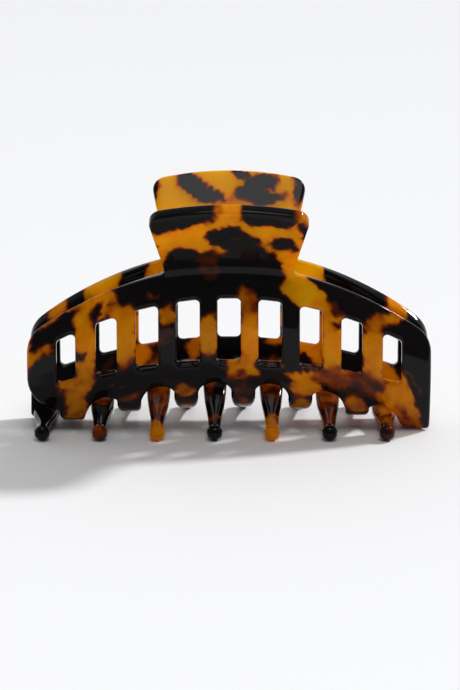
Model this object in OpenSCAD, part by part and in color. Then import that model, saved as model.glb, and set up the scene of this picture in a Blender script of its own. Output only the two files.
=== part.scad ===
// Claw clip for hair: two curved acetate jaws with teeth and handles, joined by a sprung hinge.
// It stands on its ball tips at z = 0, +X runs along its length and the front jaw faces -Y.
// A jaw's side view is drawn in (d, z): d is the distance outward from the clip's middle plane.

/* [Overall] */
// Length of the jaws, end to end
clip_length = 105; // [88:1:126]
// Thickness of the acetate sheet
sheet = 3.3; // [2.8:0.1:4]

/* [Jaw side view] */
// Outer radius of the curved body
profile_r = 24.5; // [21:0.5:29]
// Distance of the fullest part of the body from the middle plane
bulge_half = 15.7; // [13:0.1:18.5]
// Height of the fullest part of the body
bulge_z = 28; // [26:0.5:33]
// Distance of the waist from the middle plane, at the outer face
waist_half = 10.7; // [10:0.1:12.5]
// Radius of the bend at the waist, at the outer face
waist_r = 3; // [2:0.5:5]
// Drop of the arch that the whole jaw is bent along, from its middle to its ends
arch_fall = 20.38; // [15:0.1:23]
// Lean of that arch towards the middle plane, in degrees
arch_lean = 23.6; // [15:1:30]

/* [Body outline] */
// Drop of the crown, the body's top edge, from its middle to the jaw's ends
crown_fall = 18.71; // [13:0.1:21]
// Height of the crown at the middle, if the neck weren't there
crown_z = 44.5; // [42:0.5:47]
// Radius of the body's upper corners
upper_corner_r = 8; // [5:0.5:11]
// Radius of the body's lower corner beside the first tooth
lower_corner_r = 9; // [5:0.5:11]
// Radius of the body's lower corner over the last tooth
lobe_corner_r = 4; // [2:0.5:5]
// Height of the lower edge between the teeth at the middle
hem_z = 14.4; // [13:0.2:17]
// Drop of the lower edge from its middle to the jaw's ends
hem_fall = 12.3; // [8:0.1:13]

/* [Handle] */
// Length of the handle above the waist
handle_length = 20.8; // [17:0.1:25]
// Lean of the handle outward from upright, in degrees
handle_lean = 37.5; // [30:0.5:42]
// Width of the handle at the neck
neck_w = 33.7; // [28:0.1:40]
// Width of the handle at the top
handle_w = 42.8; // [36:0.1:50]
// Radius of the handle's top edge
handle_top_r = 83; // [60:1:150]
// Radius of the handle's upper corners
handle_corner_r = 3.5; // [3:0.5:7]

/* [Slots] */
// Number of slots in a jaw
slot_count = 9; // [7:2:9]
// Width of the middle slot
slot_w = 6.1; // [4:0.1:7]
// Width of the outermost slots
end_slot_w = 5; // [3.5:0.1:6]
// Height of the middle slot's top
slot_top_z = 38; // [36:0.5:39]
// Height of the middle slot's bottom
slot_bottom_z = 20; // [18.5:0.5:24]
// Drop of the outermost slots' tops below the middle one's
slot_top_fall = 11.1; // [8:0.1:12]
// Drop of the outermost slots' bottoms below the middle one's
slot_bottom_fall = 5.9; // [4:0.1:7]
// Radius of the slots' corners
slot_corner_r = 1.2; // [0.8:0.1:1.6]

/* [Teeth] */
// Number of teeth on a jaw
tooth_count = 7; // [5:1:7]
// Width of a tooth at its root
tooth_w = 6.2; // [4.5:0.1:6.5]
// Diameter of a tooth behind its ball
tooth_neck_d = 3.6; // [3:0.1:4]
// Diameter of the ball tip
ball_d = 4.2; // [3.8:0.1:5]
// Distance of the ball's middle past the middle plane
tip_reach = 15; // [12:0.5:18]
// Angle below horizontal of the body's lower edge where a middle tooth starts
root_angle = 34; // [30:1:38]
// The same angle at the outermost tooth
end_root_angle = 21; // [18:1:25]
// Slope of the straight end of a middle tooth, in degrees
tooth_slope = 16; // [12:1:18]

/* [Hinge] */
// Diameter of the hinge pin
pin_d = 2.2; // [1.6:0.1:2.6]
// Radial clearance of the moving lugs on the pin
pin_clearance = 0.05; // [0.02:0.01:0.09]
// Thickness of a hinge lug
lug_w = 3; // [2:0.1:4]
// Outer radius of a hinge lug around the pin
lug_r = 3.8; // [3:0.1:4.2]
// Gap between neighbouring lugs
lug_gap = 0.4; // [0.3:0.1:0.8]
// Distance of the moving lugs' inner faces from the middle
lug_inner = 6; // [5.5:0.1:7.5]

/* [Spring] */
// Diameter of the spring wire
wire_d = 1.1; // [0.8:0.1:1.3]
// Mean radius of the coil
coil_r = 2.8; // [2.3:0.1:3.1]
// Whole turns in the coil
coil_turns = 5; // [3:1:6]
// Length of a spring leg
leg_length = 12; // [9:0.5:15]
// Gap left between a leg's end and the handle it presses on
leg_gap = 0.15; // [0.1:0.05:0.4]

/* [Hidden] */
$fn = 64;

amber = "darkgoldenrod";
acetate_dark = "saddlebrown";
steel = "silver";

half_length = clip_length / 2;
big = 3 * clip_length;      // longer than anything it has to cut
sweep_span = 100;           // degrees of arch that the jaw is cut from
bite = 0.02;                // rounding circles cut this deep, so no two surfaces only touch
root_step = 0.15;           // a tooth is this much smaller, each way, than the tab it grows from
root_lead = 2.5;            // length of tooth buried in its tab

// Side view: the body's arc, the waist bend and the handle are tangent to each other.
body_mid = [bulge_half - profile_r, bulge_z];
bend_reach = profile_r + waist_r;
bend_angle = acos((waist_half + waist_r - body_mid[0]) / bend_reach);
waist_mid = body_mid + bend_reach * [cos(bend_angle), sin(bend_angle)];
handle_out = [cos(handle_lean), -sin(handle_lean)];
handle_up = [sin(handle_lean), cos(handle_lean)];
handle_foot = waist_mid - waist_r * handle_out;
hinge_z = waist_mid[1];

// Arch: the side view is turned about an axis below the body, leaning towards the middle plane.
arch_r = arc_r(arch_fall);
crown_r = arc_r(crown_fall);
arch_out = [sin(arch_lean), cos(arch_lean)];
arch_axis = body_mid - arch_r * arch_out;

// Teeth: the two jaws' teeth pass half a pitch apart, so each row is set off by a quarter of it.
tooth_pitch = clip_length / (tooth_count + 0.05);
tooth_shift = tooth_pitch / 4;
last_tooth_x = tooth_x(tooth_count - 1);
tip_mid = [-tip_reach, ball_d / 2];
arch_w = tooth_pitch - tooth_w - 2 * root_step;
tab_drop = arch_w / 2;      // how far the middle tabs run below the tops of the arches
end_tab_drop = 0.8;         // the same for the outermost tab

// Slots: evenly spaced, and as far apart as the length allows.
slot_pitch = clip_length / (slot_count + 0.94);
last_slot_x = slot_pitch * (slot_count - 1) / 2;

// Hinge: moving lugs inside, fixed lugs outside, the pin flush with the fixed lugs.
fixed_lug_inner = lug_inner + lug_w + lug_gap;
cap_depth = 1.2;            // height of a pin cap
cap_socket = 0.7;           // how far the pin runs into a cap
pin_length = 2 * (fixed_lug_inner + lug_w + cap_socket);

// Spring: each leg leaves the coil at a tangent and meets its handle at its far end.
handle_face_reach = handle_out * (handle_foot - [0, hinge_z]) - sheet;
leg_tilt = asin((handle_face_reach - wire_d / 2 - leg_gap - coil_r) / leg_length);
leg_angle = handle_lean + leg_tilt;
coil_half = lug_inner - wire_d / 2 - lug_gap;

// Radius of an arc as long as the clip that drops by "fall" at its ends.
function arc_r(fall) = (half_length * half_length + fall * fall) / (2 * fall);
function tooth_x(i) = tooth_shift + (i - (tooth_count - 1) / 2) * tooth_pitch;
function slot_x(i) = (i - (slot_count - 1) / 2) * slot_pitch;
function share(x, x_end) = x * x / (x_end * x_end);

// Heights that are greatest at the middle and fall as the square of x.
function slot_edge(x, z_mid, fall) = z_mid - fall * share(x, last_slot_x);
function hem(x) = hem_z - hem_fall * share(x, half_length);
function tab_end(x) = hem(x) - tab_drop + (tab_drop - end_tab_drop) * share(x, last_tooth_x);

// A point of the body's face at x, "inset" mm inside the outer face, at an angle from horizontal.
function body_point(x, angle, inset) =
    let (p = (profile_r - inset) * [cos(angle), sin(angle)])
    let (q = arch_r + p * arch_out)
    let (sag = q - sqrt(q * q - x * x))
    body_mid + p - sag * arch_out;

// A tooth's centre line: an arc on from the body, then a straight run down to the ball.
function root_turn(x) = -root_angle + (root_angle - end_root_angle) * share(x, last_tooth_x);
function run_slope(x) = tooth_slope * (1 - share(x, last_tooth_x));
function root_point(x) = body_point(x, root_turn(x), sheet / 2);
// The arc's radius and the run's length [r, l] that lead from the root to the ball.
function tooth_curve(x) =
    let (a = root_turn(x))
    let (g = run_slope(x))
    let (to = tip_mid - root_point(x))
    let (arc = [sin(g) - cos(a), -cos(g) - sin(a)])
    let (run = [-cos(g), -sin(g)])
    let (det = arc[0] * run[1] - arc[1] * run[0])
    [(to[0] * run[1] - to[1] * run[0]) / det, (arc[0] * to[1] - arc[1] * to[0]) / det];

// Where a line from p along unit direction dir leaves a circle about o.
function line_on_circle(p, dir, o, r) =
    let (b = dir * (p - o))
    p + dir * (-b + sqrt(b * b - (p - o) * (p - o) + r * r));
function angle_of(v) = atan2(v[1], v[0]);
function heading(angle) = [cos(angle), sin(angle)];
function turned_left(angle) = [-sin(angle), cos(angle)];

// ---- plain shapes ----

// What is cut away to round a corner with a circle of radius r about c, between two angles.
module corner_waste(c, r, from, to) {
    reach = 5 * r;
    translate(c)
        difference() {
            polygon([[0, 0], reach * heading(from), reach * heading((from + to) / 2), reach * heading(to)]);
            circle(r + bite);
        }
}

// Stands a (d, z) drawing up at the front of the clip, "w" thick along X.
module from_side(w) {
    rotate([90, 0, -90])
        linear_extrude(w, center = true)
            children();
}

// Stands an (x, z) drawing up and runs it through the front half of the clip.
module through_front() {
    rotate([90, 0, 0])
        linear_extrude(big)
            children();
}

// ---- jaw ----

// The side view filled in to the middle plane, its edge "inset" mm inside the outer face.
module side_fill(inset) {
    foot = waist_mid - (waist_r + inset) * handle_out;
    top = foot + 2 * handle_length * handle_up;
    difference() {
        union() {
            translate(body_mid)
                circle(profile_r - inset);
            polygon([body_mid, waist_mid, foot, top, top - [big, 0], body_mid - [big, 0]]);
        }
        translate(waist_mid)
            circle(waist_r + inset + bite);
    }
}

module side_view() {
    intersection() {
        difference() {
            side_fill(0);
            side_fill(sheet);
        }
        translate(body_mid)
            polygon([[0, 0], big * heading(-root_angle - 25), [big, big], [0, big]]);
    }
}

module swept_sheet() {
    translate([0, -arch_axis[0], arch_axis[1]])
        rotate([arch_lean, 0, 0])
            rotate([0, -90, -90])
                rotate([0, 0, -sweep_span / 2])
                    rotate_extrude(angle = sweep_span)
                        translate([arch_r, 0])
                            rotate(arch_lean - 90)
                                translate(-body_mid)
                                    side_view();
}

// An arch between two teeth, round at the top and open below.
module arch(x) {
    r = arch_w / 2;
    translate([x, hem(x) - r]) {
        circle(r + bite);
        translate([-r, -big])
            square([arch_w, big]);
    }
}

module body_outline() {
    crown_mid = [0, crown_z - crown_r];
    tab_r = last_tooth_x * last_tooth_x / 2 / (tab_end(0) - tab_end(last_tooth_x));
    tab_mid = [0, tab_end(0) - tab_r];
    upper = line_on_circle([half_length - upper_corner_r, 0], [0, 1], crown_mid, crown_r - upper_corner_r);
    lobe = line_on_circle([half_length - lobe_corner_r, 0], [0, 1], tab_mid, tab_r + lobe_corner_r);
    lower = [lower_corner_r - half_length, hem(half_length - lower_corner_r) + lower_corner_r];
    first_tab = tooth_x(0) - tooth_w / 2 - root_step;
    upper_normal = angle_of(upper - crown_mid);
    difference() {
        intersection() {
            translate(crown_mid)
                circle(crown_r);
            translate([-half_length, -half_length])
                square([clip_length, clip_length]);
        }
        translate(tab_mid)
            circle(tab_r);
        corner_waste(upper, upper_corner_r, 0, upper_normal);
        corner_waste([-upper[0], upper[1]], upper_corner_r, 180 - upper_normal, 180);
        corner_waste(lobe, lobe_corner_r, angle_of(tab_mid - lobe), 0);
        difference() {
            translate([first_tab - big, lower[1] - big])
                square([big, big]);
            translate(lower)
                circle(lower_corner_r + bite);
        }
        for (i = [0 : tooth_count - 2])
            arch(tooth_x(i) + tooth_pitch / 2);
    }
}

// The handle's outline in its own plane, from its foot up.
module handle_outline() {
    top_mid = [0, handle_length - handle_top_r];
    overlap = handle_length / 4;
    flare = (handle_w - neck_w) / 2 / handle_length;
    side = [flare, 1] / norm([flare, 1]);
    inward = [-side[1], side[0]];
    start = [neck_w / 2, 0] + handle_corner_r * inward;
    corner = line_on_circle(start, side, top_mid, handle_top_r - handle_corner_r);
    side_normal = angle_of(-inward);
    top_normal = angle_of(corner - top_mid);
    difference() {
        intersection() {
            translate(top_mid)
                circle(handle_top_r);
            polygon([
                [-neck_w / 2, -overlap], [neck_w / 2, -overlap], [neck_w / 2, 0],
                [neck_w / 2 + flare * big, big], [-neck_w / 2 - flare * big, big], [-neck_w / 2, 0]
            ]);
        }
        corner_waste(corner, handle_corner_r, side_normal, top_normal);
        corner_waste([-corner[0], corner[1]], handle_corner_r, 180 - top_normal, 180 - side_normal);
    }
}

module handle_block() {
    translate([0, -handle_foot[0], handle_foot[1]])
        rotate([90 + handle_lean, 0, 0])
            linear_extrude(8 * sheet, center = true)
                handle_outline();
}

// A slot's upright sides and sloping ends, with rounded corners.
module slot_outline(x) {
    w = slot_w - (slot_w - end_slot_w) * share(x, last_slot_x);
    half = w / 2;
    r = slot_corner_r;
    top = [for (side = [-1, 1]) [x + side * half, slot_edge(x + side * half, slot_top_z, slot_top_fall)]];
    low = [for (side = [-1, 1]) [x + side * half, slot_edge(x + side * half, slot_bottom_z, slot_bottom_fall)]];
    top_slope = angle_of(top[1] - top[0]);
    low_slope = angle_of(low[1] - low[0]);
    top_in = [r, r * tan(top_slope) - r / cos(top_slope)];
    top_back = [-r, -r * tan(top_slope) - r / cos(top_slope)];
    low_in = [r, r * tan(low_slope) + r / cos(low_slope)];
    low_back = [-r, -r * tan(low_slope) + r / cos(low_slope)];
    difference() {
        polygon([low[0], low[1], top[1], top[0]]);
        corner_waste(top[0] + top_in, r, 90 + top_slope, 180);
        corner_waste(top[1] + top_back, r, 0, 90 + top_slope);
        corner_waste(low[0] + low_in, r, 180, 270 + low_slope);
        corner_waste(low[1] + low_back, r, 270 + low_slope, 360);
    }
}

// A strip's outer edge filled in: a straight lead, an arc of radius r about the origin, a straight run.
module bend_fill(r, depth, from, lead, to, run) {
    corner = r / cos((from - to) / 2) * heading((from + to) / 2);
    difference() {
        polygon([
            (r - depth) * heading(from) + lead * turned_left(from),
            r * heading(from) + lead * turned_left(from),
            corner,
            r * heading(to) - run * turned_left(to),
            (r - depth) * heading(to) - run * turned_left(to)
        ]);
        corner_waste([0, 0], r, to, from);
    }
}

module tooth(x) {
    from = root_turn(x);
    to = run_slope(x) - 90;
    curve = tooth_curve(x);
    arc_mid = root_point(x) - curve[0] * heading(from);
    run_start = arc_mid + curve[0] * heading(to);
    thick = sheet - 2 * root_step;
    translate([x, 0, 0]) {
        intersection() {
            from_side(2 * tooth_w)
                translate(arc_mid)
                    difference() {
                        bend_fill(curve[0] + thick / 2, thick + 1, from, root_lead, to, curve[1]);
                        bend_fill(curve[0] - thick / 2, 6, from, root_lead + 1, to, curve[1] + 1);
                    }
            linear_extrude(hinge_z)
                polygon([
                    [-tooth_w / 2, -bulge_half - sheet], [tooth_w / 2, -bulge_half - sheet],
                    [tooth_w / 2, -run_start[0]], [tooth_neck_d / 2, -tip_mid[0] + 1],
                    [-tooth_neck_d / 2, -tip_mid[0] + 1], [-tooth_w / 2, -run_start[0]]
                ]);
        }
        translate([0, -tip_mid[0], tip_mid[1]])
            rotate([-90, 0, 0])
                sphere(d = ball_d);
    }
}

module jaw() {
    difference() {
        intersection() {
            swept_sheet();
            union() {
                through_front()
                    body_outline();
                handle_block();
            }
        }
        for (i = [0 : slot_count - 1])
            through_front()
                slot_outline(slot_x(i));
    }
    for (i = [0 : tooth_count - 1])
        tooth(tooth_x(i));
}

// ---- hinge ----

// A lug for the front jaw from x_in outward: an eye round the pin and a foot bonded to the sheet.
module lug(x_in, bore_r) {
    foot = waist_half - sheet / 2;
    difference() {
        translate([x_in + lug_w / 2, 0, 0])
            from_side(lug_w)
                union() {
                    translate([0, hinge_z])
                        circle(lug_r);
                    translate([0, hinge_z - lug_r])
                        square([foot, 2 * lug_r]);
                }
        swept_sheet();
        translate([0, 0, hinge_z])
            rotate([0, 90, 0])
                cylinder(h = big, r = bore_r, center = true);
    }
}

module pin() {
    translate([0, 0, hinge_z])
        rotate([0, 90, 0])
            cylinder(h = pin_length, d = pin_d, center = true);
}

// A domed cap pressed on the pin's right end, its flat face against the fixed lug.
module pin_cap() {
    r = pin_d / 2 + 1;
    dome_r = (r * r + cap_depth * cap_depth) / (2 * cap_depth);
    translate([fixed_lug_inner + lug_w, 0, hinge_z])
        rotate([0, 90, 0])
            difference() {
                intersection() {
                    cylinder(h = cap_depth, r = r);
                    translate([0, 0, cap_depth - dome_r])
                        sphere(dome_r + bite);
                }
                translate([0, 0, -1])
                    cylinder(h = 1 + cap_socket, d = pin_d);
            }
}

// ---- spring ----

// The wire's centre line: up the front leg's length, round the coil and out along the back leg.
function coil_point(x, angle) = [x, coil_r * cos(angle), hinge_z + coil_r * sin(angle)];
function leg_end(x, angle, side) =
    coil_point(x, angle) + leg_length * [0, side * sin(leg_angle), cos(leg_angle)];
coil_start = 180 + leg_angle;
coil_end = 360 - leg_angle + 360 * coil_turns;
coil_steps = 20 * (coil_turns + 1);
coil_path = [
    for (k = [0 : coil_steps])
        coil_point(
            coil_half * (2 * k / coil_steps - 1),
            coil_start + (coil_end - coil_start) * k / coil_steps
        )
];
spring_path = concat(
    [leg_end(-coil_half, coil_start, -1)],
    coil_path,
    [leg_end(coil_half, coil_end, 1)]
);

// A round tube through the points; no stretch of it may run along X.
module tube(path, d, sides) {
    n = len(path);
    function heading(i) =
        let (v = path[min(i + 1, n - 1)] - path[max(i - 1, 0)])
        v / norm(v);
    function ring(i) =
        let (t = heading(i))
        let (u = cross(t, [1, 0, 0]) / norm(cross(t, [1, 0, 0])))
        let (v = cross(t, u))
        [for (k = [0 : sides - 1]) path[i] + d / 2 * (u * cos(360 * k / sides) + v * sin(360 * k / sides))];
    points = [for (i = [0 : n - 1]) each ring(i)];
    walls = [
        for (i = [0 : n - 2]) for (k = [0 : sides - 1])
            let (m = (k + 1) % sides)
            [i * sides + k, i * sides + m, (i + 1) * sides + m, (i + 1) * sides + k]
    ];
    ends = [
        [for (k = [sides - 1 : -1 : 0]) k],
        [for (k = [0 : sides - 1]) (n - 1) * sides + k]
    ];
    polyhedron(points, concat(walls, ends));
}

// ---- sub-parts ----

module front_jaw() {
    color(amber)
        jaw();
}

module back_jaw() {
    color(amber)
        rotate([0, 0, 180])
            jaw();
}

module front_hinge_lug_left() {
    color(acetate_dark)
        mirror([1, 0, 0])
            lug(fixed_lug_inner, pin_d / 2);
}

module front_hinge_lug_right() {
    color(acetate_dark)
        lug(fixed_lug_inner, pin_d / 2);
}

module back_hinge_lug_left() {
    color(acetate_dark)
        rotate([0, 0, 180])
            lug(lug_inner, pin_d / 2 + pin_clearance);
}

module back_hinge_lug_right() {
    color(acetate_dark)
        rotate([0, 0, 180])
            mirror([1, 0, 0])
                lug(lug_inner, pin_d / 2 + pin_clearance);
}

module hinge_pin() {
    color(steel)
        pin();
}

module pin_cap_left() {
    color(steel)
        mirror([1, 0, 0])
            pin_cap();
}

module pin_cap_right() {
    color(steel)
        pin_cap();
}

module torsion_spring() {
    color(steel)
        tube(spring_path, wire_d, 8);
}

front_jaw();
back_jaw();
front_hinge_lug_left();
front_hinge_lug_right();
back_hinge_lug_left();
back_hinge_lug_right();
hinge_pin();
pin_cap_left();
pin_cap_right();
torsion_spring();
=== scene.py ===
import math

import bmesh
import bpy
import numpy as np
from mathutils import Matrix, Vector, geometry


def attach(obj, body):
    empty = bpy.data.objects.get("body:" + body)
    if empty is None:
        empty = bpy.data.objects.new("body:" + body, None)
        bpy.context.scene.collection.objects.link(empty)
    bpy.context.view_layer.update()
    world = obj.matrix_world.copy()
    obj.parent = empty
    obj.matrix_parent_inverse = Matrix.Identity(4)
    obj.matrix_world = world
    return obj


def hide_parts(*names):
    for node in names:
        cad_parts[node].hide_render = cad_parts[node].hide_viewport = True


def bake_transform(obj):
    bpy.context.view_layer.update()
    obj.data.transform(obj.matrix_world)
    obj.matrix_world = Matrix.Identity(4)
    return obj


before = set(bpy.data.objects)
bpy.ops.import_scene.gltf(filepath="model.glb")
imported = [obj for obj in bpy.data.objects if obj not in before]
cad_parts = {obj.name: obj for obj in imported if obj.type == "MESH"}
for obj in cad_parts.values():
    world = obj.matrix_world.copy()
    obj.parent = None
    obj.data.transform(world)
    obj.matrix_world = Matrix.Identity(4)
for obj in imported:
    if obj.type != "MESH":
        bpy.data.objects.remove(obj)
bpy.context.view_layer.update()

MM = 0.001

# ---- sizes in millimetres, the same as the CAD part's ----
HALF_LENGTH = 52.5
SHEET = 3.3
BODY_R = 24.5
BODY_MID = np.array([-8.8, 28.0])          # side views are (d, z): d is outward from the middle plane
WAIST_HALF = 10.7
WAIST_R = 3.0
ARCH_R = 77.81
ARCH_LEAN = math.radians(23.6)
CROWN_R = 83.01
CROWN_Z = 44.5
UPPER_CORNER_R = 8.0
LOWER_CORNER_R = 9.0
HEM_Z = 14.4
HEM_R = 112.04
HANDLE_LENGTH = 20.8
HANDLE_LEAN = math.radians(37.5)
NECK_W = 33.7
HANDLE_W = 42.8
HANDLE_TOP_R = 83.0
HANDLE_CORNER_R = 3.5
SLOTS = 9
SLOT_W = 6.1
END_SLOT_W = 5.0
SLOT_TOP_Z = 38.0
SLOT_TOP_FALL = 11.1
SLOT_BOTTOM_Z = 20.0
SLOT_BOTTOM_FALL = 5.9
SLOT_CORNER_R = 1.2
TEETH = 7
TOOTH_W = 6.3
NECK_R = 1.75
BALL_R = 2.1
TIP_MID = np.array([-15.0, BALL_R])
ROOT_ANGLE = math.radians(34)
END_ROOT_ANGLE = math.radians(21)
TOOTH_SLOPE = math.radians(16)
EDGE_R = 0.85                               # polished edges of the sheet
SHANK_START = 6.0                           # along a tooth, from its root to where it starts to slim
ROUND_START = 5.0                           # the same, to where the flat strip starts to turn round
SHANK_END_GAP = 8.0                         # the change is over this much less than the tooth's length
WIRE_R = 0.55
COIL_R = 2.8
COIL_TURNS = 5
COIL_HALF = 5.05                            # half the coil's length, to the middle of its end turns
LEG_LENGTH = 12.0
LEG_GAP = 0.15                              # between a spring leg's end and its handle

LENGTH = 2 * HALF_LENGTH
BEND_R = BODY_R + WAIST_R
BEND = math.acos((WAIST_HALF + WAIST_R - BODY_MID[0]) / BEND_R)
WAIST_MID = BODY_MID + BEND_R * np.array([math.cos(BEND), math.sin(BEND)])
OUT = np.array([math.cos(HANDLE_LEAN), -math.sin(HANDLE_LEAN)])
UP = np.array([math.sin(HANDLE_LEAN), math.cos(HANDLE_LEAN)])
FOOT = WAIST_MID - WAIST_R * OUT
HINGE_Z = WAIST_MID[1]
ARCH_OUT = np.array([math.sin(ARCH_LEAN), math.cos(ARCH_LEAN)])
S_WAIST = BODY_R * BEND
S_HANDLE = S_WAIST + WAIST_R * (BEND + HANDLE_LEAN)
TOOTH_PITCH = LENGTH / (TEETH + 0.05)
SLOT_PITCH = LENGTH / (SLOTS + 0.94)
TOOTH_X = TOOTH_PITCH * (np.arange(TEETH) - (TEETH - 1) / 2 + 0.25)
LAST_TOOTH_X = TOOTH_X[-1]
LAST_SLOT_X = SLOT_PITCH * (SLOTS - 1) / 2


# ---- the jaw's surface: s runs up the outer face from the fullest part, h goes into the sheet ----
def heading(angle):
    return np.stack([np.cos(angle), np.sin(angle)], axis=-1)


def side_point(s, h):
    s, h = np.broadcast_arrays(np.asarray(s, float), np.asarray(h, float))
    body = BODY_MID + (BODY_R - h)[..., None] * heading(s / BODY_R)
    waist = WAIST_MID + (WAIST_R + h)[..., None] * heading(math.pi + BEND - (s - S_WAIST) / WAIST_R)
    handle = FOOT + (s - S_HANDLE)[..., None] * UP - h[..., None] * OUT
    below = (s < S_WAIST)[..., None]
    bent = (s < S_HANDLE)[..., None]
    return np.where(below, body, np.where(bent, waist, handle))


def swept(x, p):
    q = ARCH_R + (p - BODY_MID) @ ARCH_OUT
    sag = q - np.sqrt(q * q - x * x)
    return p - sag[..., None] * ARCH_OUT


def solve_s(measure, target, low, high):
    """The s at which measure(s) reaches the target, for measures that grow with s."""
    low = np.full_like(target, low)
    high = np.full_like(target, high)
    for _ in range(40):
        middle = (low + high) / 2
        below = measure(middle) < target
        low = np.where(below, middle, low)
        high = np.where(below, high, middle)
    return (low + high) / 2


def from_front(points):
    """(x, z) points of a front view, as (x, s) points on the outer face."""
    points = np.asarray(points, float)
    x, z = points[:, 0], points[:, 1]
    s = solve_s(lambda v: swept(x, side_point(v, 0.0))[:, 1], z, -36.0, S_HANDLE + 30)
    return np.stack([x, s], axis=1)


def from_handle(points):
    """(x, height up the handle's plane) points, as (x, s) points on the outer face."""
    points = np.asarray(points, float)
    x, t = points[:, 0], points[:, 1]
    s = solve_s(lambda v: (swept(x, side_point(v, 0.0)) - FOOT) @ UP, t, S_WAIST, S_HANDLE + 40)
    return np.stack([x, s], axis=1)


def hem(x):
    return HEM_Z - x * x / (2 * HEM_R)


def crown(x):
    return CROWN_Z - CROWN_R + np.sqrt(CROWN_R ** 2 - x * x)


def share(x, x_end):
    return np.clip(x * x / (x_end * x_end), 0, 1.2)


def root_s(x):
    return BODY_R * (-ROOT_ANGLE + (ROOT_ANGLE - END_ROOT_ANGLE) * share(x, LAST_TOOTH_X))


# ---- teeth: a centre line in the plane of each tooth, an arc and then a straight run ----
class Tooth:
    def __init__(self, x):
        self.x = x
        self.root = float(root_s(x))
        self.start = self.root / BODY_R
        slope = TOOTH_SLOPE * (1 - share(x, LAST_TOOTH_X))
        self.end = slope - math.pi / 2
        root = swept(np.array(x), side_point(self.root, SHEET / 2))
        arc = heading(self.end) - heading(self.start)
        self.run_way = -heading(slope)
        self.r, self.run = np.linalg.solve(np.stack([arc, self.run_way], axis=1), TIP_MID - root)
        self.mid = root - self.r * heading(self.start)
        self.bend = self.r * (self.start - self.end)
        self.ball = self.bend + self.run

    def line(self, u):
        """Point and outward direction at u mm along the centre line."""
        angle = np.maximum(self.start - u / self.r, self.end)
        out = heading(angle)
        beyond = np.maximum(u - self.bend, 0)
        return self.mid + self.r * out + beyond[..., None] * self.run_way, out

    def radius(self, root_half, u):
        """Half the tooth's size across, which is root_half where the tooth leaves the body."""
        shank = blend(root_half, NECK_R, (u - SHANK_START) / (self.ball - SHANK_END_GAP))
        ball = np.sqrt(np.clip(BALL_R ** 2 - (u - self.ball) ** 2, 0, None))
        return np.where(u > self.ball, ball, np.maximum(shank, ball))

    def half_width(self, u):
        return self.radius(TOOTH_W / 2, u)

    def half_thickness(self, u):
        return self.radius(SHEET / 2, u)


def smooth(t):
    t = np.clip(t, 0, 1)
    return t * t * (3 - 2 * t)


def blend(a, b, t):
    return a + (b - a) * smooth(t)


TOOTH_LIST = [Tooth(x) for x in TOOTH_X]


def jaw_point(x, s, h):
    """The front jaw's surface at (x, s, h), its teeth included, in the row frame, in millimetres."""
    flat = swept(x, side_point(s, h))
    place = np.stack([x, -flat[:, 0], flat[:, 1]], axis=1)
    nearest = np.argmin(np.abs(x[:, None] - TOOTH_X[None, :]), axis=1)
    weight = smooth((root_s(x) - s - 0.6) / 4.5)
    for i, tooth in enumerate(TOOTH_LIST):
        mine = (nearest == i) & (weight > 0)
        u = tooth.root - s[mine]
        xi = x[mine] - tooth.x
        half_w = tooth.half_width(u)
        half_t = tooth.half_thickness(u)
        a = np.clip(xi / np.maximum(half_w, 1e-6), -1, 1)
        b = 1 - 2 * h[mine] / SHEET
        roundness = smooth((u - ROUND_START) / (tooth.ball - SHANK_END_GAP))
        across = blend_by(xi, half_w * a * np.sqrt(1 - b * b / 2), roundness)
        through = blend_by(half_t * b, half_t * b * np.sqrt(1 - a * a / 2), roundness)
        line, out = tooth.line(u)
        pin = line + through[:, None] * out
        pin = np.stack([tooth.x + across, -pin[:, 0], pin[:, 1]], axis=1)
        w = weight[mine][:, None]
        place[mine] = place[mine] * (1 - w) + pin * w
    return place


def blend_by(a, b, t):
    return a + (b - a) * t


# ---- outlines in (x, s) ----
def arc(mid, r, start, end, count=24):
    return np.asarray(mid) + r * heading(np.linspace(start, end, count))


def line(a, b, step=0.25):
    count = max(2, int(math.dist(a, b) / step))
    return np.linspace(a, b, count)


def softened(path, corner, reach):
    """The path with the stretch within reach of one of its points replaced by a smooth curve."""
    travel = np.concatenate([[0], np.cumsum(np.linalg.norm(np.diff(path, axis=0), axis=1))])
    here = travel[corner]
    first = np.searchsorted(travel, here - reach)
    last = np.searchsorted(travel, here + reach) - 1
    a, b, c = path[first], path[corner], path[last]
    t = np.linspace(0, 1, 14)[:, None]
    curve = (1 - t) ** 2 * a + 2 * t * (1 - t) * b + t * t * c
    return np.concatenate([path[:first], curve, path[last + 1:]])


def joined(*pieces, reach):
    """Pieces end to end, with the corner between each two softened."""
    path = pieces[0]
    for piece in pieces[1:]:
        corner = len(path) - 1
        path = softened(np.concatenate([path, piece[1:]]), corner, reach)
    return path


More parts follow.
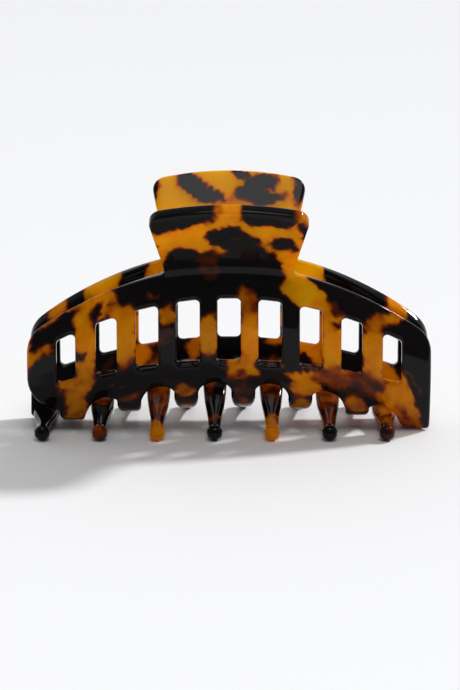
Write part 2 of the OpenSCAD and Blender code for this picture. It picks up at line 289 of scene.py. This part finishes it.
def handle_side(sign):
    """The crown, a side of the handle and half of its top, from a body end to the handle's middle."""
    flare = (HANDLE_W - NECK_W) / 2 / HANDLE_LENGTH
    corner_mid_angle = math.atan2(1, flare) - math.pi / 2
    side = np.array([flare, 1]) / math.hypot(flare, 1)
    start = np.array([NECK_W / 2, 0]) + HANDLE_CORNER_R * np.array([-side[1], side[0]])
    top_mid = np.array([0, HANDLE_LENGTH - HANDLE_TOP_R])
    b = side @ (start - top_mid)
    gap = (HANDLE_TOP_R - HANDLE_CORNER_R) ** 2 - (start - top_mid) @ (start - top_mid) + b * b
    corner = start + side * (math.sqrt(gap) - b)
    top_angle = math.atan2(*(corner - top_mid)[::-1])
    rim = arc(corner, HANDLE_CORNER_R, corner_mid_angle, top_angle)
    top = arc(top_mid, HANDLE_TOP_R, top_angle, math.pi / 2, 40)
    neck_x = NECK_W / 2 - 0.35
    upper_mid_x = HALF_LENGTH - UPPER_CORNER_R
    upper_mid_z = CROWN_Z - CROWN_R + math.sqrt((CROWN_R - UPPER_CORNER_R) ** 2 - upper_mid_x ** 2)
    upper_mid = np.array([upper_mid_x, upper_mid_z])
    crown_angle = math.atan2(upper_mid_z - (CROWN_Z - CROWN_R), upper_mid[0])
    shoulder = arc(upper_mid, UPPER_CORNER_R, 0, crown_angle)
    crown_x = np.linspace(shoulder[-1][0], neck_x, 90)
    crown_line = np.stack([crown_x, crown(crown_x)], axis=1)
    body = from_front(np.concatenate([shoulder, crown_line[1:]]))
    foot_s = body[-1][1]
    foot_t = float((swept(np.array([neck_x]), side_point(np.array([foot_s]), 0.0))[0] - FOOT) @ UP)
    upright = line([neck_x, foot_t], rim[0])
    handle = from_handle(np.concatenate([upright, rim[1:], top[1:]]))
    path = joined(body, handle, reach=1.6)
    return path * [sign, 1]


def tooth_outline(tooth, left_s, right_s):
    """Down a tooth's left side, round its ball and up its right side."""
    def side(sign, top_s):
        u = np.linspace(tooth.root - top_s, tooth.ball, 60)
        return np.stack([tooth.x + sign * tooth.half_width(u), tooth.root - u], axis=1)
    tip = arc([tooth.x, tooth.root - tooth.ball], BALL_R, math.pi, 2 * math.pi, 20)
    return np.concatenate([side(-1, left_s), tip[1:-1], side(1, right_s)[::-1]])


def jaw_outline():
    arch_r = (TOOTH_PITCH - TOOTH_W) / 2
    arch_x = TOOTH_X[:-1] + TOOTH_PITCH / 2
    arch_mid = from_front(np.stack([arch_x, hem(arch_x)], axis=1)) - [0, arch_r]
    first, last = TOOTH_LIST[0], TOOTH_LIST[-1]
    first_left = first.x - TOOTH_W / 2
    last_right = last.x + TOOTH_W / 2
    lower_mid_x = LOWER_CORNER_R - HALF_LENGTH
    lower_mid = np.array([lower_mid_x, hem(lower_mid_x) + LOWER_CORNER_R])
    lower_end = math.pi + math.acos((lower_mid[0] - first_left) / LOWER_CORNER_R)
    lower = from_front(arc(lower_mid, LOWER_CORNER_R, math.pi, lower_end))
    lobe_top = from_front([[HALF_LENGTH, 8.0]])[0]
    lobe_s = last.root - 3.0
    lobe = softened(np.concatenate([
        line([last_right, lobe_s], [HALF_LENGTH, lobe_s + 2.5]),
        line([HALF_LENGTH, lobe_s + 2.5], lobe_top)[1:]
    ]), 9, 1.5)
    right = handle_side(1)
    left = handle_side(-1)[::-1]
    bottom = []
    for i, tooth in enumerate(TOOTH_LIST):
        left_s = lower[-1][1] - 1.4 if i == 0 else arch_mid[i - 1][1]
        right_s = lobe_s if i == TEETH - 1 else arch_mid[i][1]
        bottom.append(tooth_outline(tooth, left_s, right_s))
        if i < TEETH - 1:
            bottom.append(arc(arch_mid[i], arch_r, math.pi, 0)[1:-1])
    corner = joined(lower, line(lower[-1], [first_left, lower[-1][1] - 1.4]), reach=0.9)
    return np.concatenate([
        right, left[1:], line(left[-1], corner[0])[1:-1], corner[:-1], *bottom,
        lobe[1:], line(lobe[-1], right[0])[1:-1]
    ])


def slot_outline(i):
    x = SLOT_PITCH * (i - (SLOTS - 1) / 2)
    half = (SLOT_W - (SLOT_W - END_SLOT_W) * share(x, LAST_SLOT_X)) / 2
    r = SLOT_CORNER_R

    def edge(px, z, fall):
        return z - fall * (px / LAST_SLOT_X) ** 2

    corners = [
        (x - half, edge(x - half, SLOT_BOTTOM_Z, SLOT_BOTTOM_FALL)),
        (x + half, edge(x + half, SLOT_BOTTOM_Z, SLOT_BOTTOM_FALL)),
        (x + half, edge(x + half, SLOT_TOP_Z, SLOT_TOP_FALL)),
        (x - half, edge(x - half, SLOT_TOP_Z, SLOT_TOP_FALL)),
    ]
    loop = []
    for k in range(4):
        before, here, after = (np.array(corners[(k + j) % 4]) for j in (-1, 0, 1))
        back = (before - here) / np.linalg.norm(before - here)
        on = (after - here) / np.linalg.norm(after - here)
        half_angle = math.acos(back @ on) / 2
        mid = here + (back + on) / np.linalg.norm(back + on) * r / math.sin(half_angle)
        start = math.atan2(*(here + back * r / math.tan(half_angle) - mid)[::-1])
        turn = math.pi - 2 * half_angle
        loop.append(arc(mid, r, start, start + turn, 8))
    return from_front(evenly(np.concatenate(loop), 0.2))


def evenly(loop, step):
    """A closed loop walked in equal steps."""
    loop = np.concatenate([loop, loop[:1]])
    travel = np.concatenate([[0], np.cumsum(np.linalg.norm(np.diff(loop, axis=0), axis=1))])
    count = int(travel[-1] / step)
    at = np.linspace(0, travel[-1], count, endpoint=False)
    return np.stack([np.interp(at, travel, loop[:, k]) for k in (0, 1)], axis=1)


def left_of(loop):
    """Unit directions to the left of a closed loop at its points."""
    along = np.roll(loop, -1, axis=0) - np.roll(loop, 1, axis=0)
    side = np.stack([-along[:, 1], along[:, 0]], axis=1)
    return side / np.linalg.norm(side, axis=1)[:, None]


def inside(points, loops):
    """Which points lie inside an odd number of the loops."""
    result = np.zeros(len(points), bool)
    for loop in loops:
        after = np.roll(loop, -1, axis=0)
        for (ax, ay), (bx, by) in zip(loop, after):
            if ay == by:
                continue
            crosses = (ay > points[:, 1]) != (by > points[:, 1])
            reach = ax + (points[:, 1] - ay) * (bx - ax) / (by - ay)
            result ^= crosses & (points[:, 0] < reach)
    return result


def clear_of(points, loops, gap):
    keep = np.ones(len(points), bool)
    for loop in loops:
        for start in range(0, len(loop), 64):
            part = loop[start:start + 64]
            far = np.linalg.norm(points[:, None, :] - part[None, :, :], axis=2).min(axis=1)
            keep &= far > gap
    return keep


def jaw_mesh():
    """Vertices (x, s, h) and faces of a jaw, flat, before it is bent."""
    coarse = 1.0
    outline = evenly(jaw_outline(), 0.5 * coarse)
    holes = [evenly(slot_outline(i), 0.4 * coarse) for i in range(SLOTS)]
    loops = [outline] + holes
    inward = [left_of(outline)] + [-left_of(hole) for hole in holes]
    caps = [loop + EDGE_R * side for loop, side in zip(loops, inward)]
    grid = []
    low, high = outline[:, 1].min(), outline[:, 1].max()
    s = low
    row = 0
    while s < high:
        waist = S_WAIST - 1 < s < S_HANDLE + 1
        step = 1.1 * coarse
        x = np.arange(-HALF_LENGTH, HALF_LENGTH, step) + (row % 2) * step / 2
        grid.append(np.stack([x, np.full_like(x, s)], axis=1))
        s += 0.42 * coarse if waist else 0.95 * coarse
        row += 1
    grid = np.concatenate(grid)
    grid = grid[inside(grid, caps)]
    grid = grid[clear_of(grid, caps, 0.38 * coarse)]
    flat = np.concatenate(caps + [grid])
    edges = []
    base = 0
    for cap in caps:
        n = len(cap)
        edges += [(base + k, base + (k + 1) % n) for k in range(n)]
        base += n
    found = geometry.delaunay_2d_cdt([Vector(p) for p in flat], edges, [], 0, 1e-7, True)
    origin = [ids[0] if ids else None for ids in found[3]]
    triangles = np.array([[origin[k] for k in face] for face in found[2]])
    middles = flat[triangles].mean(axis=1)
    triangles = triangles[inside(middles, caps)]
    count = len(flat)
    turns = np.linspace(0, math.pi / 2, 6)[1:]
    levels = [(EDGE_R * (1 - math.sin(a)), EDGE_R * (1 - math.cos(a))) for a in turns]
    levels += [(inset, SHEET - depth) for inset, depth in levels[::-1]]
    vertices = [np.column_stack([flat, np.zeros(count)]), np.column_stack([flat, np.full(count, SHEET)])]
    faces = [tuple(t) for t in triangles] + [tuple(t[::-1] + count) for t in triangles]
    total = 2 * count
    base = 0
    for loop, side in zip(loops, inward):
        n = len(loop)
        rings = [np.arange(base, base + n)]
        for inset, depth in levels:
            vertices.append(np.column_stack([loop + inset * side, np.full(n, depth)]))
            rings.append(np.arange(total, total + n))
            total += n
        rings.append(np.arange(base, base + n) + count)
        for a, b in zip(rings, rings[1:]):
            faces += [(a[k], a[(k + 1) % n], b[(k + 1) % n], b[k]) for k in range(n)]
        base += n
    return np.concatenate(vertices), faces


def new_object(name, vertices, faces, material, tone=None):
    """A smooth-shaded mesh object. Its tones, one for each vertex, go with it as an attribute."""
    mesh = bpy.data.meshes.new(name)
    mesh.from_pydata([tuple(v) for v in vertices], [], [tuple(int(k) for k in f) for f in faces])
    if tone is not None:
        mesh.attributes.new("tone", "FLOAT", "POINT").data.foreach_set("value", tone)
    work = bmesh.new()
    work.from_mesh(mesh)
    bmesh.ops.remove_doubles(work, verts=work.verts, dist=2e-6)
    bmesh.ops.dissolve_degenerate(work, edges=work.edges, dist=1e-6)
    bmesh.ops.recalc_face_normals(work, faces=work.faces)
    for face in work.faces:
        face.smooth = True
    work.to_mesh(mesh)
    work.free()
    mesh.materials.append(material)
    obj = bpy.data.objects.new(name, mesh)
    bpy.context.scene.collection.objects.link(obj)
    return obj


def plain_material(name, color, roughness, metallic=0.0):
    material = bpy.data.materials.new(name)
    material.use_nodes = True
    shader = material.node_tree.nodes["Principled BSDF"]
    shader.inputs["Base Color"].default_value = (*color, 1)
    shader.inputs["Roughness"].default_value = roughness
    shader.inputs["Metallic"].default_value = metallic
    return material


# ---- tortoiseshell: how dark each spot is comes from patches painted over one another in order ----
# A patch is (x, s, half length, half height, tilt in degrees, tone). Tone 1 is black, 0 is amber and
# below 0 is yellow amber. The back jaw's x runs the other way in the row frame.
PATCH_POWER = 2.4                           # 2 would make a patch an ellipse, more makes it boxier
PATCH_EDGE = 1.1                            # half the width of the fade at its edge
WANDER = 0.55                               # how far the waves push the patches' outlines
FRONT_PATCHES = [
    # handle: amber ground, then its dark islands
    (0, 30, 23, 15, 0, -0.08), (-12, 40.2, 9.2, 5.2, 0, 1), (-16.6, 36, 3.4, 3.2, 25, 1),
    (10.2, 39.8, 7.4, 5.2, 0, 1), (-0.6, 30, 4.8, 4.4, 0, 1), (4.6, 28.4, 4.4, 2.8, -15, 0.85),
    (14.2, 28.2, 3.4, 2.8, 25, 1), (19.4, 33.4, 1.4, 3.8, 12, 0.8), (-19, 28, 0.9, 1.2, 0, 0.7),
    (-11.8, 19, 5.4, 7.2, 0, 1), (5, 18.6, 8.6, 7.8, 0, 1), (-3, 16, 15, 5, 0, 1),
    (-5.2, 20, 3, 5, 0, 0.62),
    (16, 20, 1.8, 5.5, 8, 0.1),
    # upper left of the body
    (0, 8, 56, 6, 0, 1), (-49.5, 6.4, 4.4, 1.5, -8, 0.22), (-52.6, 9, 1.3, 5, 0, 0.1),
    (-42, 14.2, 10, 0.9, 11, 0.3),
    (-37.4, 10, 2.3, 5.4, -8, 0.0), (-32, 12.8, 3.4, 3.8, 0, 0.05), (-34.4, 11, 1.5, 1.9, 0, 1),
    (-30.8, 11.4, 0.6, 2.2, -12, 0.5), (-27.4, 8, 3, 4, 0, 0.05), (-22, 11.4, 3.6, 2, -20, 1),
    (-19.6, 12.4, 1.8, 0.9, -35, 0.46),
    # bars between the slots, left to right
    (-37, 3, 3.4, 7.4, 0, 0.05), (-26.8, 3, 3.4, 7.8, 0, 0.0), (-15.8, 6.6, 2.6, 2.5, -20, 0.12),
    (-15.8, 1.2, 3.0, 2.6, 0, 0.72), (-5.6, 0.4, 3.2, 5.4, 0, 0.08), (5.1, 8.6, 3.2, 4.2, 0, 0.46),
    (5.3, -0.6, 3.2, 6.8, 0, 0.05), (3.4, 11.6, 1.6, 1.4, 0, 0.4), (26.6, 2, 3.4, 9.2, 0, 0.0),
    (37.2, 2, 3.4, 7.8, 0, 0.05), (-38.4, 1.8, 1.5, 0.9, -30, 0.9), (27.6, 6.6, 1.6, 0.8, 15, 0.62),
    (27, 10.8, 2.6, 1.5, -30, 0.55),
    # right of the neck, and the right end
    (19.4, 13, 5.6, 3.8, -25, -0.25), (17, 16.2, 2.4, 2.4, 0, -0.15),
    (23.5, 9.6, 2.8, 2.2, 0, 0.05),
    (41.4, 12.2, 4.2, 1.6, 32, 0.1), (38.6, 9.8, 2.2, 1.8, 30, 0.35),
    (44.6, -4.2, 5.2, 3.8, 35, 0.08),
    (41.5, -8, 3.6, 1.8, 15, 0.2), (48, -7, 1.8, 2.8, -30, 0.1), (47.6, -2.2, 0.9, 2.6, 35, 1),
    (49.6, -4.6, 0.8, 2.4, 20, 1),
    # lower band
    (-38.8, -6, 3.4, 4.6, -38, 0.2), (-41.4, -4, 3.2, 1.1, -10, 0.25),
    (-39.8, -12, 3.2, 3.4, 0, 0.15),
    (-28.6, -9.8, 2.6, 0.6, -25, 0.5), (1.9, -8.4, 1.9, 4.2, -28, 0.25),
    (5.9, -9.8, 1.8, 2.3, 20, 0.05),
    (3.8, -12, 1.2, 2.2, -20, 0.5), (20, -8.9, 6.5, 1.2, 12, 0.1), (20, -13, 4, 3.4, 0, 0.15),
    (30, -7.4, 8.5, 3.6, 4, 0.56), (12, -7.6, 2.6, 0.7, 10, 0.5), (-26, -14.4, 3, 1.6, 0, 0.5),
    (-11.5, -16, 3, 2.6, 0, 0.25), (33.5, -14, 3.4, 3, 0, 0.3), (4, -16.5, 2.6, 2.4, 0, 0.6),
    (43.5, -11, 3, 2, 0, 0.2),
    # teeth
    (-41, -24, 3, 8, 0, 0.45), (-26, -24, 2.2, 5, 20, 0.5), (-11, -28, 3, 6, 0, 0.3),
    (-11, -38, 3, 5, 0, 0.5),
    (4, -25, 2, 6, 10, 0.5), (19, -24, 3, 8, 0, 0.2), (19, -36, 3, 4, 0, 0.5),
    (34, -27, 3, 8, 0, 0.3),
    (48.6, -14, 5, 4.4, 0, 0.4), (48.4, -22, 4, 8, 0, 0.3),
]
BACK_PATCHES = [
    # handle: its amber ground is a yellow amber painted lighter than the front handle's as painted
    # backlight, then its dark islands
    (0, 32, 24, 13, 0, -0.4), (8.4, 34.4, 6.8, 2.4, 42, 1), (4.4, 31.6, 4, 1.5, 10, 1),
    (-7.4, 35.2, 6.6, 2.5, -32, 1),
    (-9.4, 31.6, 5.8, 2.0, -8, 1), (-3, 38.4, 2.4, 1.1, 20, 1), (20.4, 33.6, 1.6, 4.6, 5, 0.95),
    (-18.6, 35, 1.6, 4.6, 0, 0.95), (-18.4, 40, 2.4, 1.6, 0, 0.9), (8.4, 31.4, 1.4, 0.8, 0, 0.4),
    (-4, 22, 8, 4, 20, 1), (12, 23, 4, 3.4, 0, 0.9), (-15, 24, 2.4, 3, 0, 0.2),
    # body, seen over the front jaw's crown and through its slots
    (33, 15, 4.4, 5, 25, -0.25), (19, 14, 3.6, 4, 0, -0.1), (45, 13, 2.6, 4, 0, 0.0),
    (-20.5, 14, 4.6, 6, 0, -0.3),
    (-43.6, 13, 2.6, 5, 20, 0.05), (-30, 6, 2.6, 7, 10, 0.2), (8, 4, 4, 8, 20, 0.15),
    (27, 2, 3.5, 7, 0, 0.2),
    (-22, -3, 5.6, 5.4, 0, 0.0), (22.4, -3, 2.4, 5.4, -30, 0.0), (-13, -2, 2.2, 4, 40, 0.0),
    (23.6, -10, 2.6, 4.6, -20, 0.0), (9, -10.4, 2.2, 4.6, 12, 0.0), (-11.8, -8, 2.4, 2.4, 30, 0.05),
    (-21.4, -9, 4.4, 5, 0, 0.0), (-20, -12.4, 2.4, 1.6, 25, 1), (-42, -6.6, 3.8, 2.6, 15, 0.05),
    (42, -10, 4, 2, 0, 0.4), (32, -10, 2, 3, 20, 0.6),
    # teeth
    (-41, -22, 4, 12, 0, 0.35), (-41, -36, 3, 3.6, 0, 0.7), (-26, -22, 4, 10, 0, 0.4),
    (-26, -35, 3, 5, 0, 0.55),
    (-11, -20, 4, 7, 0, 0.3), (-11, -28, 2.4, 5, 0, 0.6), (-11, -42, 3, 6, 0, 0.0),
    (4, -22, 1.8, 7, 20, 0.4),
    (4, -38.5, 3, 1.6, 0, 0.4), (19, -24, 4, 14, 0, 0.44), (19, -43, 3, 5, 0, 0.05),
    (33.5, -20, 3, 4, 25, 0.5),
    (33.5, -38, 3, 3, 0, 0.62),
]


def wander(u, v, turn):
    """A smooth wave field about a millimetre high, which makes the patches' outlines irregular."""
    broad = 0.9 * np.sin(0.71 * v + 1.6 * np.sin(0.33 * u + turn) + turn)
    middle = 0.55 * np.sin(1.55 * u - 1.1 * v + 2.1 * turn)
    fine = 0.35 * np.sin(2.9 * v + 1.9 * u + 0.7 * turn)
    return broad + middle + fine


def tone_at(x, s, patches):
    """The tone at points of a jaw, where later patches cover earlier ones."""
    x, s = x + WANDER * wander(x, s, 0.4), s + WANDER * wander(s, x, 2.3)
    tone = np.full(len(x), 1.0)
    for px, ps, half_long, half_high, tilt, value in patches:
        turn = math.radians(tilt)
        dx, ds = x - px, s - ps
        u = (dx * math.cos(turn) + ds * math.sin(turn)) / half_long
        v = (ds * math.cos(turn) - dx * math.sin(turn)) / half_high
        reach = (np.abs(u) ** PATCH_POWER + np.abs(v) ** PATCH_POWER) ** (1 / PATCH_POWER)
        edge = min(0.6, PATCH_EDGE / min(half_long, half_high))
        tone = tone + (value - tone) * smooth((1 + edge - reach) / (2 * edge))
    return tone


def noise_node(nodes, links, place, seed, scale, detail, distortion):
    node = nodes.new("ShaderNodeTexNoise")
    node.noise_dimensions = "4D"
    node.inputs["W"].default_value = seed
    node.inputs["Scale"].default_value = scale
    node.inputs["Detail"].default_value = detail
    node.inputs["Distortion"].default_value = distortion
    links.new(place.outputs["Object"], node.inputs["Vector"])
    return node


def math_node(nodes, links, operation, first, second, third=None):
    node = nodes.new("ShaderNodeMath")
    node.operation = operation
    for i, value in enumerate((first, second, third)):
        if isinstance(value, (int, float)):
            node.inputs[i].default_value = value
        elif value is not None:
            links.new(value, node.inputs[i])
    return node.outputs["Value"]


def ramp_node(nodes, links, source, stops):
    node = nodes.new("ShaderNodeValToRGB")
    elements = node.color_ramp.elements
    elements[0].position, elements[0].color = stops[0][0], (*stops[0][1], 1)
    elements[1].position, elements[1].color = stops[-1][0], (*stops[-1][1], 1)
    for position, color in stops[1:-1]:
        elements.new(position).color = (*color, 1)
    links.new(source, node.inputs["Fac"])
    return node.outputs["Color"]


def tortoiseshell(name, seed, painted):
    """Polished acetate: its tone picks amber, red-brown or black, and amber lets light through."""
    material = bpy.data.materials.new(name)
    material.use_nodes = True
    nodes, links = material.node_tree.nodes, material.node_tree.links
    shader = nodes["Principled BSDF"]
    place = nodes.new("ShaderNodeTexCoord")
    if painted:
        source = nodes.new("ShaderNodeAttribute")
        source.attribute_name = "tone"
        base = source.outputs["Fac"]
    else:
        broad = noise_node(nodes, links, place, seed, 110, 1, 0.4)
        base = math_node(nodes, links, "MULTIPLY_ADD", broad.outputs["Fac"], 5.0, -1.7)
    ragged = noise_node(nodes, links, place, seed, 190, 2.5, 0.5)
    ragged = math_node(nodes, links, "MULTIPLY_ADD", ragged.outputs["Fac"], 0.7, -0.15)
    tone = math_node(nodes, links, "MULTIPLY_ADD", base, 0.8, ragged)
    color = ramp_node(nodes, links, tone, [
        (0.0, (1.0, 0.62, 0.007)), (0.20, (1.0, 0.43, 0.004)), (0.34, (0.86, 0.31, 0.003)),
        (0.47, (0.56, 0.14, 0.002)), (0.58, (0.25, 0.036, 0.002)), (0.68, (0.065, 0.011, 0.003)),
        (0.84, (0.005, 0.004, 0.004)),
    ])
    clearness = ramp_node(nodes, links, tone, [
        (0.0, (0.66, 0.66, 0.66)), (0.20, (0.54, 0.54, 0.54)), (0.48, (0.42, 0.42, 0.42)),
        (0.74, (0.0, 0.0, 0.0)),
    ])
    links.new(color, shader.inputs["Base Color"])
    shader.inputs["Roughness"].default_value = 0.07
    shader.inputs["IOR"].default_value = 1.49
    shader.inputs["Specular IOR Level"].default_value = 0.16
    glow = nodes.new("ShaderNodeBsdfTranslucent")
    links.new(color, glow.inputs["Color"])
    through = nodes.new("ShaderNodeBsdfTransparent")
    links.new(color, through.inputs["Color"])
    passed = nodes.new("ShaderNodeMixShader")
    passed.inputs["Fac"].default_value = 0.3
    links.new(glow.outputs["BSDF"], passed.inputs[1])
    links.new(through.outputs["BSDF"], passed.inputs[2])
    both = nodes.new("ShaderNodeMixShader")
    links.new(clearness, both.inputs["Fac"])
    links.new(shader.outputs["BSDF"], both.inputs[1])
    links.new(passed.outputs["Shader"], both.inputs[2])
    links.new(both.outputs["Shader"], nodes["Material Output"].inputs["Surface"])
    return material


def dress(name, material, edge_r):
    """Gives a carried-over CAD piece its material and rounded edges."""
    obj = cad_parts[name]
    obj.data.materials.clear()
    obj.data.materials.append(material)
    bevel = obj.modifiers.new("rounded edges", "BEVEL")
    bevel.width = edge_r * MM
    bevel.segments = 3
    bevel.limit_method = "ANGLE"
    bevel.angle_limit = math.radians(40)
    obj.modifiers.new("even shading", "WEIGHTED_NORMAL")


# ---- the spring: round wire down a leg, five turns about the pin, and out along the other leg ----
leg_reach = OUT @ (FOOT - np.array([0, HINGE_Z])) - SHEET - WIRE_R - LEG_GAP - COIL_R
leg_turn = HANDLE_LEAN + math.asin(leg_reach / LEG_LENGTH)


def coil_point(x, angle):
    return np.array([x, COIL_R * math.cos(angle), HINGE_Z + COIL_R * math.sin(angle)])


def spring_line():
    """The wire's centre line, from the front leg's end to the back leg's."""
    start = math.pi + leg_turn
    end = 2 * math.pi - leg_turn + 2 * math.pi * COIL_TURNS
    steps = 36 * COIL_TURNS
    coil = []
    for k in range(steps + 1):
        share_done = k / steps
        coil.append(coil_point(COIL_HALF * (2 * share_done - 1), start + (end - start) * share_done))
    legs = []
    for side, foot in ((-1, coil[0]), (1, coil[-1])):
        way = np.array([0, side * math.sin(leg_turn), math.cos(leg_turn)])
        legs.append([foot + way * d for d in np.linspace(0.3, LEG_LENGTH, 10)])
    return legs[0][::-1] + coil + legs[1]


def wire(path, r, sides=14):
    """A round tube along the path, with a narrowed rim at each end."""
    rim_r = 0.6 * r
    rim_length = 0.35 * r
    path = np.array(path)
    ways = np.gradient(path, axis=0)
    ways /= np.linalg.norm(ways, axis=1)[:, None]
    first = path[0] + rim_length * ways[0]
    last = path[-1] - rim_length * ways[-1]
    middles = [path[0], first, *path[1:-1], last, path[-1]]
    directions = [ways[0], *ways, ways[-1]]
    radii = [rim_r, *([r] * len(path)), rim_r]
    across = np.cross(ways[0], [1.0, 0, 0])
    vertices = []
    faces = []
    for middle, way, radius in zip(middles, directions, radii):
        across = across - way * (across @ way)
        across /= np.linalg.norm(across)
        up = np.cross(way, across)
        for k in range(sides):
            turn = 2 * math.pi * k / sides
            vertices.append(middle + radius * (across * math.cos(turn) + up * math.sin(turn)))
    for ring in range(len(middles) - 1):
        for k in range(sides):
            a = ring * sides + k
            b = ring * sides + (k + 1) % sides
            faces.append((a, b, b + sides, a + sides))
    faces.append(tuple(range(sides))[::-1])
    faces.append(tuple(range(len(vertices) - sides, len(vertices))))
    return np.array(vertices) * MM, faces


# ---- the pieces ----
steel = plain_material("steel", (0.6, 0.59, 0.57), 0.3, 1.0)
front_shell = tortoiseshell("front_tortoiseshell", 3.0, True)
back_shell = tortoiseshell("back_tortoiseshell", 8.0, True)
lug_shell = tortoiseshell("lug_tortoiseshell", 5.0, False)

points, faces = jaw_mesh()
across, along, depth = points.T
bent = jaw_point(across, along, depth) * MM
half_turn = [-1, -1, 1]
front_tone = tone_at(across, along, FRONT_PATCHES)
back_tone = tone_at(across, along, BACK_PATCHES)
front = new_object("front_jaw_shell", bent, faces, front_shell, front_tone)
back = new_object("back_jaw_shell", bent * half_turn, faces, back_shell, back_tone)
for obj, body, node in ((front, "front", "front_jaw"), (back, "back", "back_jaw")):
    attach(obj, body)
    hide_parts(node)

for side in ("left", "right"):
    dress("front_hinge_lug_" + side, lug_shell, 0.3)
    dress("back_hinge_lug_" + side, lug_shell, 0.3)
    dress("pin_cap_" + side, steel, 0.15)
dress("hinge_pin", steel, 0.1)

coil_vertices, coil_faces = wire(spring_line(), WIRE_R)
spring = new_object("spring_wire", coil_vertices, coil_faces, steel)
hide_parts("torsion_spring")
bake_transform(spring)

# ---- floor, light and camera ----
bpy.ops.mesh.primitive_plane_add(size=8, location=(0, 0, 0))
floor = bpy.context.object
floor.name = "floor"
floor.data.materials.append(plain_material("floor", (0.86, 0.865, 0.88), 0.9))

bpy.context.scene.view_settings.view_transform = "Standard"

# The room is dim in front of the clip and bright behind it.
world = bpy.data.worlds.new("studio")
bpy.context.scene.world = world
world.use_nodes = True
sky = world.node_tree
background = sky.nodes["Background"]
background.inputs["Color"].default_value = (1, 1, 1, 1)
around = sky.nodes.new("ShaderNodeTexCoord")
parts = sky.nodes.new("ShaderNodeSeparateXYZ")
fade = sky.nodes.new("ShaderNodeMapRange")
fade.interpolation_type = "SMOOTHSTEP"
fade.inputs["From Min"].default_value = -0.35
fade.inputs["From Max"].default_value = 0.75
fade.inputs["To Min"].default_value = 0.12
fade.inputs["To Max"].default_value = 0.82
sky.links.new(around.outputs["Generated"], parts.inputs["Vector"])
sky.links.new(parts.outputs["Y"], fade.inputs["Value"])
sky.links.new(fade.outputs["Result"], background.inputs["Strength"])


def add_lamp(name, kind, energy, way):
    """A lamp that shines on the clip from the given direction."""
    data = bpy.data.lights.new(name, kind)
    data.energy = energy
    lamp = bpy.data.objects.new(name, data)
    bpy.context.scene.collection.objects.link(lamp)
    lamp.rotation_euler = Vector(way).to_track_quat("Z", "Y").to_euler()
    return lamp


key = add_lamp("key", "SUN", 2.4, (1.0, 0.6, 1.0))
key.data.angle = math.radians(7)

overhead_place = (0.2, -0.9, 2.4)
overhead = add_lamp("overhead", "AREA", 16.0, overhead_place)
overhead.location = overhead_place
overhead.data.shape = "DISK"
overhead.data.size = 1.4

camera_data = bpy.data.cameras.new("camera")
camera_data.sensor_fit = "HORIZONTAL"
camera_data.sensor_width = 36
camera_data.lens = 223.9
camera_data.clip_start = 0.01
camera = bpy.data.objects.new("camera", camera_data)
bpy.context.scene.collection.objects.link(camera)
tilt = math.radians(15)
target = Vector((0.00025, 0, 0.02157))
camera.location = target + 0.75 * Vector((0, -math.cos(tilt), math.sin(tilt)))
camera.rotation_euler = (math.pi / 2 - tilt, 0, 0)
bpy.context.scene.camera = camera
